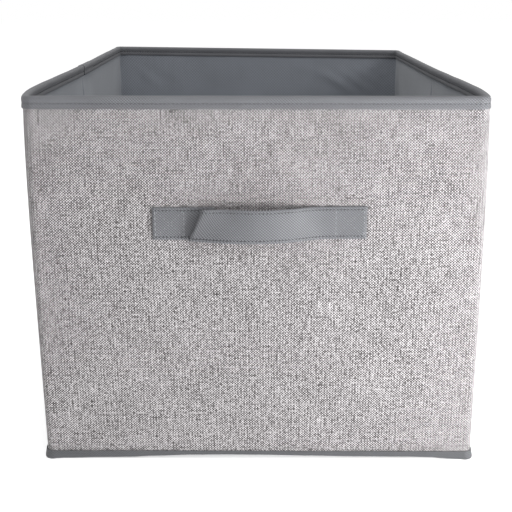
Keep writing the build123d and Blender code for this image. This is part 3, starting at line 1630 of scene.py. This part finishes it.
@dataclass
class Base:
    """The base cloth that turns up over the foot of the walls, and the loose covered board."""

    clothier: Clothier
    cutting: Cutting
    finishes: Finishes
    strip_height: float = 7.0 * MM
    proud: float = 1.0 * MM
    tape: float = 0.5 * MM
    turn_radius: float = 1.8 * MM
    under: float = 30 * MM
    overlap: float = 6 * MM
    rear_arch: float = 1.2 * MM
    side_arch: float = 1.0 * MM
    ear_reach: float = 1.8 * MM
    ear_width: float = 6 * MM
    front_lift: Tuple[Tuple[float, float], ...] = (
        (-160, 0.0), (-142, 0.2), (-120, 0.8), (-98, 1.1), (-77, 2.2), (-52, 3.2), (-25, 3.5), (5, 3.3),
        (35, 2.7), (75, 2.0), (110, 1.8), (128, 1.5), (140, 0.4), (148, 0.0), (160, 0.0),
    )

    @property
    def shell(self) -> Shell:
        """The outline that the base follows."""
        return self.clothier.shell

    def arch(self, distance: float) -> float:
        """How far the base's lower edge is drawn up off the floor.

        Args:
            distance: Distance round the bin.

        Returns:
            The height.
        """
        shell = self.shell
        half = shell.around / 2
        around = (distance + half) % shell.around - half
        run = abs(around)
        if run < shell.corner_start:
            x = around / MM
            for (low, here), (high, there) in zip(self.front_lift, self.front_lift[1:]):
                if low <= x <= high:
                    return (here + (there - here) * eased(low, high, x)) * MM
        if run > shell.rear_end:
            return self.rear_arch * (1 - ((half - run) / shell.corner_start) ** 2)
        along = (run - shell.fold) / (shell.fold - shell.corner_end)
        return self.side_arch * max(0.0, 1 - along**2)

    def build(self) -> None:
        """Makes the base cloth and the loose board's cover."""
        self.strip()
        self.floor_cloth()
        self.cover()

    def mitred(self, distance: float, inset: float) -> float:
        """The depth under the bin that a turned-under place keeps, which is less near a corner.

        Args:
            distance: Distance round the bin.
            inset: Depth that the place has along a straight wall.

        Returns:
            The depth, at which the strip's two directions don't lie over each other.
        """
        shell = self.shell
        half = shell.around / 2
        run = abs((distance + half) % shell.around - half)
        turns = [(shell.corner_start, shell.corner_end), (shell.rear_start, shell.rear_end)]
        gap = min(max(low - run, run - high, 0.0) for low, high in turns)
        limit = min(self.under, 0.95 * shell.radius + gap)
        start = self.turn_radius - self.proud
        return start + (inset - start) * (limit - start) / (self.under - start)

    def ear(self, distance: float) -> float:
        """How far the strip's foot stands out at a front corner, where its fold is pinched.

        Args:
            distance: Distance round the outline.

        Returns:
            How far it stands out.
        """
        half = self.shell.around / 2
        run = abs((distance + half) % self.shell.around - half)
        middle = (self.shell.corner_start + self.shell.corner_end) / 2
        return self.ear_reach * math.exp(-(((run - middle) / self.ear_width) ** 2))

    def strip(self) -> None:
        """Makes the edge of the base cloth: a strip up the wall's foot, turned under."""
        turn = [
            (self.turn_radius * (1 - math.cos(angle)) - self.proud, self.turn_radius * (1 - math.sin(angle)))
            for angle in (math.pi / 2 * step / 6 for step in range(7))
        ]
        levels = (1.0, 0.92, 0.72, 0.5)
        upright = [(-self.proud, self.strip_height * level) for level in levels]
        under = [(inset, 0.0) for inset in rows(4 * MM, self.under, 4 * MM)]
        section = [*reversed(under), *reversed(turn), *reversed(upright)]
        shell = self.shell
        places = self.cutting.places(Span("base", 0.0, shell.around, (ROOT,)), 5 * MM)
        strip = self.clothier.grid("base_edge_strip", places, section, Facing.OUTWARD)
        mesh = bmesh.new()
        mesh.from_mesh(strip.data)
        wave = smooth_waves(22 * MM, 0.5 * MM, 4.0)
        layer = mesh.loops.layers.uv.active
        flat = {loop.vert.index: loop[layer].uv.copy() for face in mesh.faces for loop in face.loops}
        for vert in mesh.verts:
            distance, height = flat[vert.index]
            if height <= self.under - under[0][0] + 0.1 * MM:
                vert.co = shell.at(distance, self.mitred(distance, self.under - height), 0.0)
            point, outward = shell.plan(distance)
            inset = max(0.0, (point - vert.co).dot(outward))
            fade = 1 - eased(0.0, self.under, inset)
            share = min(1.0, vert.co.z / self.strip_height)
            vert.co.z = max(0.0, vert.co.z + self.arch(distance) * fade * (1 - share))
            vert.co += outward * (wave(distance, 0.0) * share + self.ear(distance) * (1 - share)) * fade
        bmesh.ops.remove_doubles(mesh, verts=mesh.verts, dist=0.01 * MM)
        mesh.to_mesh(strip.data)
        mesh.free()
        self.clothier.thicken(strip, self.tape)
        self.clothier.dress(strip, self.finishes.base, "base_cloth")
        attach(strip, ROOT)

    def floor_cloth(self) -> None:
        """Makes the flat middle of the base cloth, which lies on the floor."""
        half_x = self.shell.half_width - self.under + self.overlap
        half_y = self.shell.half_depth - self.under + self.overlap
        mesh = bmesh.new()
        bmesh.ops.create_grid(mesh, x_segments=24, y_segments=30, size=0.5)
        layer = mesh.loops.layers.uv.new(UV_NAME)
        for vert in mesh.verts:
            vert.co = Vector((vert.co.x * 2 * half_x, vert.co.y * 2 * half_y, 2 * self.tape))
        for face in mesh.faces:
            face.smooth = True
            for loop in face.loops:
                loop[layer].uv = loop.vert.co.xy
        cloth = self.clothier.add("base_floor_cloth", mesh)
        self.clothier.thicken(cloth, self.tape)
        self.clothier.dress(cloth, self.finishes.base, "base_cloth")
        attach(cloth, ROOT)
        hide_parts("base_fabric")

    def cover(self) -> None:
        """Makes the cover sewn round the loose base board, with its seam along the rear edge."""
        low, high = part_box("base_board_cover")
        size = high - low
        middle = (low + high) / 2
        corner_round, edge_round = 5 * MM, 1.6 * MM
        wave_height, flat_margin = 0.35 * MM, 12 * MM
        seam_margin, seam_inset = 4 * MM, 5 * MM
        mesh = bmesh.new()
        bmesh.ops.create_cube(mesh, size=1.0)
        bmesh.ops.scale(mesh, verts=mesh.verts, vec=size)
        bmesh.ops.translate(mesh, verts=mesh.verts, vec=middle)
        upright = [edge for edge in mesh.edges if abs(edge.verts[0].co.z - edge.verts[1].co.z) > 1 * MM]
        bmesh.ops.bevel(
            mesh, geom=upright, offset=corner_round, segments=5, profile=0.5, affect="EDGES", material=-1
        )
        flat = [edge for edge in mesh.edges if edge.verts[0].co.z == edge.verts[1].co.z]
        rim = [edge for edge in flat if any(abs(face.normal.z) > 0.9 for face in edge.link_faces)]
        bmesh.ops.bevel(
            mesh, geom=rim, offset=edge_round, segments=4, profile=0.5, affect="EDGES", material=-1
        )
        for axis, count in ((0, 18), (1, 22)):
            for index in range(1, count):
                place = middle.copy()
                place[axis] = low[axis] + size[axis] * index / count
                normal = Vector((0, 0, 0))
                normal[axis] = 1.0
                geom = [*mesh.verts, *mesh.edges, *mesh.faces]
                bmesh.ops.bisect_plane(mesh, geom=geom, plane_co=place, plane_no=normal, dist=1e-6)
        for vert in mesh.verts:
            if vert.co.z > middle.z:
                wave = noise.noise(Vector((vert.co.x * 16, vert.co.y * 16, 6.0)))
                edge = min(
                    half - abs(vert.co[axis] - middle[axis])
                    for axis, half in ((0, size.x / 2), (1, size.y / 2))
                )
                vert.co.z += wave_height * wave * eased(0.0, flat_margin, edge)
        bmesh.ops.recalc_face_normals(mesh, faces=mesh.faces)
        for face in mesh.faces:
            face.smooth = True
        cover = self.clothier.add("base_board_wrap", mesh)
        self.clothier.dress(cover, self.finishes.lining, "lining_cloth")
        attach(cover, LOOSE)
        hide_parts("base_board_cover")
        grains = []
        count = 120
        for index in range(count):
            x = low.x + seam_margin + (size.x - 2 * seam_margin) * (index + 0.5) / count
            grains.append(Matrix.Translation((x, high.y - seam_inset, high.z)))
        row = self.clothier.stitches("base_board_wrap_stitches", grains, (0.9 * MM, 0.24 * MM, 0.2 * MM))
        self.clothier.dress(row, self.finishes.thread, "stitching_thread")
        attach(row, LOOSE)


# ---------------------------------------------------------------- stage


@dataclass(frozen=True)
class Studio:
    """A pale floor, soft lights and the camera."""

    camera_place: Tuple[float, float, float] = (0.0020, -0.8127, 0.3597)
    pitch: float = 15.79
    yaw: float = 0.27
    focal_share: float = 895.1 / 512
    shift: float = -0.0605
    sky: float = 0.66
    floor_glow: float = 0.36

    def build(self) -> None:
        """Makes the floor, the lights and the camera."""
        self.floor()
        self.light("key", (0.50, -0.56, 0.12), aim=(0.0, -0.2, 0.15), size=(0.26, 0.2), power=4.8)
        self.light("window", (1.35, -1.10, 1.0), aim=(0.0, -0.05, 0.15), size=(0.7, 0.5), power=9.6)
        self.light("overhead", (-0.1, -0.35, 1.7), aim=(0.0, 0.1, 0.2), size=(0.9, 0.9), power=10.5)
        self.backdrop()
        self.camera()

    def floor(self) -> None:
        """Makes the floor."""
        mesh = bmesh.new()
        bmesh.ops.create_grid(mesh, x_segments=1, y_segments=1, size=6.0)
        data = bpy.data.meshes.new("floor")
        mesh.to_mesh(data)
        mesh.free()
        floor = bpy.data.objects.new("floor", data)
        bpy.context.scene.collection.objects.link(floor)
        material = bpy.data.materials.new("pale_floor")
        material.use_nodes = True
        shader = material.node_tree.nodes["Principled BSDF"]
        shader.inputs["Base Color"].default_value = (0.98, 0.98, 0.98, 1)
        shader.inputs["Roughness"].default_value = 0.9
        shader.inputs["Emission Color"].default_value = (1, 1, 1, 1)
        shader.inputs["Emission Strength"].default_value = self.floor_glow
        data.materials.append(material)

    def light(
        self,
        name: str,
        place: Tuple[float, float, float],
        aim: Tuple[float, float, float],
        size: Tuple[float, float],
        power: float,
    ) -> None:
        """Makes a soft oblong light that points at a place.

        Args:
            name: The light's name.
            place: Where it stands.
            aim: Where it points.
            size: Its width and height.
            power: Its power in watts.
        """
        data = bpy.data.lights.new(name, "AREA")
        data.shape = "RECTANGLE"
        data.size, data.size_y = size
        data.energy = power
        lamp = bpy.data.objects.new(name, data)
        lamp.location = place
        lamp.rotation_euler = (Vector(aim) - Vector(place)).to_track_quat("-Z", "Y").to_euler()
        bpy.context.scene.collection.objects.link(lamp)

    def backdrop(self) -> None:
        """Makes the plain white surroundings."""
        world = bpy.data.worlds.new("surroundings")
        world.use_nodes = True
        tree = world.node_tree
        background = tree.nodes["Background"]
        background.inputs["Color"].default_value = (1, 1, 1, 1)
        background.inputs["Strength"].default_value = self.sky
        seen = tree.nodes.new("ShaderNodeBackground")
        seen.inputs["Color"].default_value = (1, 1, 1, 1)
        rays = tree.nodes.new("ShaderNodeLightPath")
        choice = tree.nodes.new("ShaderNodeMixShader")
        tree.links.new(rays.outputs["Is Camera Ray"], choice.inputs[0])
        tree.links.new(background.outputs[0], choice.inputs[1])
        tree.links.new(seen.outputs[0], choice.inputs[2])
        tree.links.new(choice.outputs[0], tree.nodes["World Output"].inputs["Surface"])
        bpy.context.scene.world = world
        bpy.context.scene.view_settings.view_transform = "Standard"

    def camera(self) -> None:
        """Makes the camera, in front of the bin and a little above it."""
        data = bpy.data.cameras.new("camera")
        data.sensor_width = 36.0
        data.lens = self.focal_share * data.sensor_width
        data.shift_y = self.shift
        camera = bpy.data.objects.new("camera", data)
        camera.location = self.camera_place
        camera.rotation_euler = (math.radians(90 - self.pitch), 0, math.radians(self.yaw))
        bpy.context.scene.collection.objects.link(camera)
        bpy.context.scene.camera = camera


def main() -> None:
    """Builds the bin's looks round its frame, in order."""
    logging.basicConfig(level=logging.INFO, format="%(name)s: %(message)s")
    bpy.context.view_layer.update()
    shell = Shell.from_frame()
    cutting = Cutting(shell)
    clothier = Clothier(shell)
    finishes = Finishes.build()
    Walls(clothier, cutting, finishes).build()
    Rim(clothier, cutting, finishes).build()
    Handle(clothier, finishes).build()
    Base(clothier, cutting, finishes).build()
    base_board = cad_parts["base_board"]
    base_board.data.materials.clear()
    base_board.data.materials.append(finishes.board)
    Studio().build()


if __name__ == "__main__":
    main()
